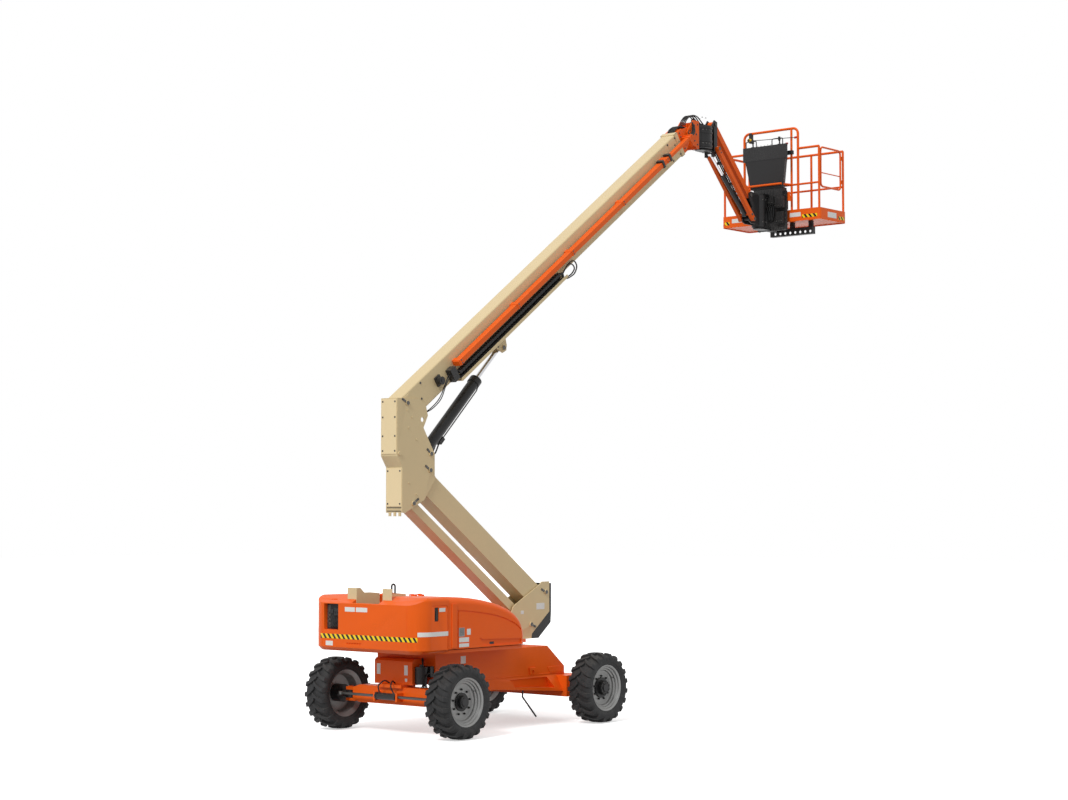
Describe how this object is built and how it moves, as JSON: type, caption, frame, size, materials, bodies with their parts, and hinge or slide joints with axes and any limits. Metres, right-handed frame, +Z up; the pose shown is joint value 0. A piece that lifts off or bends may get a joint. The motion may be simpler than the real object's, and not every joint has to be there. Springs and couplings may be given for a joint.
{
  "type": "articulated telescopic boom lift",
  "caption": "Self-propelled boom lift: parallelogram riser, telescoping main boom, side-swinging jib and railed work platform on a steered wheeled chassis.",
  "frame": {"origin": "on the ground, midway between the two axles, on the machine's centre plane", "axes": "+X the way the boom reaches, towards the drive axle; +Y to the machine's left looking along +X; +Z up"},
  "size_m": [9.7501, 2.408, 8.7324],
  "materials": {
    "orange_paint": "gloss",
    "orange_cover": "gloss",
    "cream_paint": "satin",
    "black_paint": "satin",
    "black_plastic": "matte",
    "rod_chrome": "polished",
    "tyre_rubber": "matte",
    "rim_silver": "satin"
  },
  "bodies": {
    "chassis": {"chassis_frame": "orange_paint", "lashing_eyes": "orange_paint", "swing_bearing": "black_paint", "steer_axle": "orange_paint", "drive_axle": "orange_paint", "steering_cylinder": "black_paint", "hydraulic_canister": "black_plastic", "valve_block": "black_paint"},
    "knuckle_left": {"steering_knuckle_left": "black_paint"},
    "knuckle_right": {"steering_knuckle_right": "black_paint"},
    "steering_rod": {"steering_rod": "rod_chrome"},
    "wheel_steer_left": {"tyre_steer_left": "tyre_rubber", "rim_steer_left": "rim_silver"},
    "wheel_steer_right": {"tyre_steer_right": "tyre_rubber", "rim_steer_right": "rim_silver"},
    "wheel_drive_left": {"tyre_drive_left": "tyre_rubber", "rim_drive_left": "rim_silver"},
    "wheel_drive_right": {"tyre_drive_right": "tyre_rubber", "rim_drive_right": "rim_silver"},
    "turntable": {"turntable_deck": "orange_paint", "tail_counterweight": "orange_paint", "riser_base_bracket": "cream_paint", "end_guard": "black_paint", "well_plate_left": "cream_paint", "well_plate_right": "cream_paint", "lifting_eye": "black_paint", "battery_pack": "black_plastic", "generator_engine": "black_paint"},
    "hood_left": {"hood_left": "orange_cover"},
    "hood_right": {"hood_right": "orange_cover"},
    "riser_upper_link": {"riser_upper_link": "cream_paint"},
    "riser_lower_link": {"riser_lower_link": "cream_paint"},
    "upright": {"upright_frame": "cream_paint"},
    "lift_cylinder_barrel": {"lift_cylinder_barrel": "black_paint"},
    "lift_cylinder_rod": {"lift_cylinder_rod": "rod_chrome"},
    "main_boom": {"main_boom": "cream_paint", "hose_tube_outer": "orange_paint", "carrier_tray": "cream_paint", "cable_carrier": "black_plastic", "carrier_anchor": "black_paint"},
    "fly_boom": {"fly_boom": "orange_paint", "hose_tube_inner": "orange_paint"},
    "boom_head": {"head_bracket": "orange_paint", "jib_swing_actuator": "black_paint"},
    "jib_knuckle": {"jib_knuckle": "black_paint"},
    "jib_lower_links": {"jib_lower_links": "orange_paint"},
    "jib_upper_link": {"jib_upper_link": "orange_paint"},
    "jib_cylinder_barrel": {"jib_cylinder_barrel": "black_paint"},
    "jib_cylinder_rod": {"jib_cylinder_rod": "rod_chrome"},
    "platform_support": {"platform_support": "black_paint"},
    "platform": {"platform_mount": "black_paint", "platform_floor": "orange_paint", "platform_rails": "orange_paint", "control_console": "black_plastic"},
    "platform_gate": {"platform_gate": "orange_paint"}
  },
  "joints": [
    {"name": "steering", "type": "hinge", "parent": "chassis", "child": "knuckle_left", "pos_m": [-1.37, 0.8, 0.458], "axis": [0, 0, 1], "range_deg": [-38, 38]},
    {"name": "steering_right", "type": "hinge", "parent": "chassis", "child": "knuckle_right", "pos_m": [-1.37, -0.8, 0.458], "axis": [0, 0, 1], "range_deg": [-38, 38]},
    {"name": "steering_rod_slide", "type": "slide", "parent": "chassis", "child": "steering_rod", "axis": [0, 1, 0], "range_m": [-0.11132, 0.11132]},
    {"name": "wheel_steer_left_spin", "type": "hinge", "parent": "knuckle_left", "child": "wheel_steer_left", "pos_m": [-1.37, 1.032, 0.458], "axis": [0, 1, 0], "continuous": true},
    {"name": "wheel_steer_right_spin", "type": "hinge", "parent": "knuckle_right", "child": "wheel_steer_right", "pos_m": [-1.37, -1.032, 0.458], "axis": [0, 1, 0], "continuous": true},
    {"name": "wheel_drive_left_spin", "type": "hinge", "parent": "chassis", "child": "wheel_drive_left", "pos_m": [1.37, 1.032, 0.458], "axis": [0, 1, 0], "continuous": true},
    {"name": "wheel_drive_right_spin", "type": "hinge", "parent": "chassis", "child": "wheel_drive_right", "pos_m": [1.37, -1.032, 0.458], "axis": [0, 1, 0], "continuous": true},
    {"name": "swing", "type": "hinge", "parent": "chassis", "child": "turntable", "pos_m": [-0.2, 0, 1], "axis": [0, 0, 1], "range_deg": [-180, 180]},
    {"name": "hood_left_hinge", "type": "hinge", "parent": "turntable", "child": "hood_left", "pos_m": [0, 0.238, 1.732], "axis": [1, 0, 0], "range_deg": [0, 60]},
    {"name": "hood_right_hinge", "type": "hinge", "parent": "turntable", "child": "hood_right", "pos_m": [0, -0.238, 1.732], "axis": [-1, 0, 0], "range_deg": [0, 60]},
    {"name": "riser_lift", "type": "hinge", "parent": "turntable", "child": "riser_upper_link", "pos_m": [1.372, 0, 1.683], "axis": [0, 1, 0], "range_deg": [-30, 33]},
    {"name": "riser_lower_pivot", "type": "hinge", "parent": "turntable", "child": "riser_lower_link", "pos_m": [1.064, 0, 1.263], "axis": [0, 1, 0], "range_deg": [-30, 33]},
    {"name": "upright_level", "type": "hinge", "parent": "riser_upper_link", "child": "upright", "pos_m": [-0.91505, 0, 3.2862], "axis": [0, 1, 0], "range_deg": [-33, 30]},
    {"name": "boom_lift", "type": "hinge", "parent": "upright", "child": "main_boom", "pos_m": [-1.33805, 0, 4.121], "axis": [0, -1, 0], "range_deg": [-35, 39.5]},
    {"name": "lift_cylinder_pivot", "type": "hinge", "parent": "upright", "child": "lift_cylinder_barrel", "pos_m": [-0.90305, 0, 3.493], "axis": [0, -1, 0], "range_deg": [-32.49, 36.67]},
    {"name": "lift_cylinder_stroke", "type": "slide", "parent": "lift_cylinder_barrel", "child": "lift_cylinder_rod", "axis": [0.7147, 0, 0.6995], "range_m": [-0.43983, 0.49632]},
    {"name": "telescope", "type": "slide", "parent": "main_boom", "child": "fly_boom", "axis": [0.8161, 0, 0.5779], "range_m": [0, 4.9]},
    {"name": "head_level", "type": "hinge", "parent": "fly_boom", "child": "boom_head", "pos_m": [4.73026, 0, 8.35634], "axis": [0, -1, 0], "range_deg": [-39.5, 35]},
    {"name": "jib_swing", "type": "hinge", "parent": "boom_head", "child": "jib_knuckle", "pos_m": [5.19026, 0, 8.21734], "axis": [0, 0, 1], "range_deg": [-90, 90]},
    {"name": "jib_lift", "type": "hinge", "parent": "jib_knuckle", "child": "jib_lower_links", "pos_m": [5.47026, 0, 8.21734], "axis": [0, -1, 0], "range_deg": [-20, 110]},
    {"name": "jib_upper_pivot", "type": "hinge", "parent": "jib_knuckle", "child": "jib_upper_link", "pos_m": [5.47026, 0, 8.58734], "axis": [0, -1, 0], "range_deg": [-20, 110]},
    {"name": "jib_cylinder_pivot", "type": "hinge", "parent": "jib_lower_links", "child": "jib_cylinder_barrel", "pos_m": [6.33858, 0, 7.31816], "axis": [0, -1, 0], "range_deg": [-2.83, 0.52]},
    {"name": "jib_cylinder_stroke", "type": "slide", "parent": "jib_cylinder_barrel", "child": "jib_cylinder_rod", "axis": [-0.7426, 0, 0.6697], "range_m": [-0.02591, 0.14027]},
    {"name": "platform_level", "type": "hinge", "parent": "jib_lower_links", "child": "platform_support", "pos_m": [6.4011, 0, 7.25342], "axis": [0, -1, 0], "range_deg": [-110, 20]},
    {"name": "platform_rotate", "type": "hinge", "parent": "platform_support", "child": "platform", "pos_m": [6.7201, 0, 7.15742], "axis": [0, 0, 1], "range_deg": [-90, 90]},
    {"name": "gate_hinge", "type": "hinge", "parent": "platform", "child": "platform_gate", "pos_m": [7.72036, -0.88126, 7.82742], "axis": [0, 0, -1], "range_deg": [0, 90]}
  ],
  "couplings": [
    {"joint": "steering_right", "follows": "steering", "ratio": 1},
    {"joint": "steering_rod_slide", "follows": "steering", "m_per_rad": -0.1671},
    {"joint": "riser_lower_pivot", "follows": "riser_lift", "ratio": 1},
    {"joint": "upright_level", "follows": "riser_lift", "ratio": -1},
    {"joint": "lift_cylinder_pivot", "follows": "boom_lift", "ratio": 0.928},
    {"joint": "lift_cylinder_stroke", "follows": "boom_lift", "m_per_rad": 0.7192},
    {"joint": "head_level", "follows": "boom_lift", "ratio": -1},
    {"joint": "jib_upper_pivot", "follows": "jib_lift", "ratio": 1},
    {"joint": "jib_cylinder_pivot", "follows": "jib_lift", "ratio": -0.0256},
    {"joint": "jib_cylinder_stroke", "follows": "jib_lift", "m_per_rad": 0.0728},
    {"joint": "platform_level", "follows": "jib_lift", "ratio": -1}
  ]
}
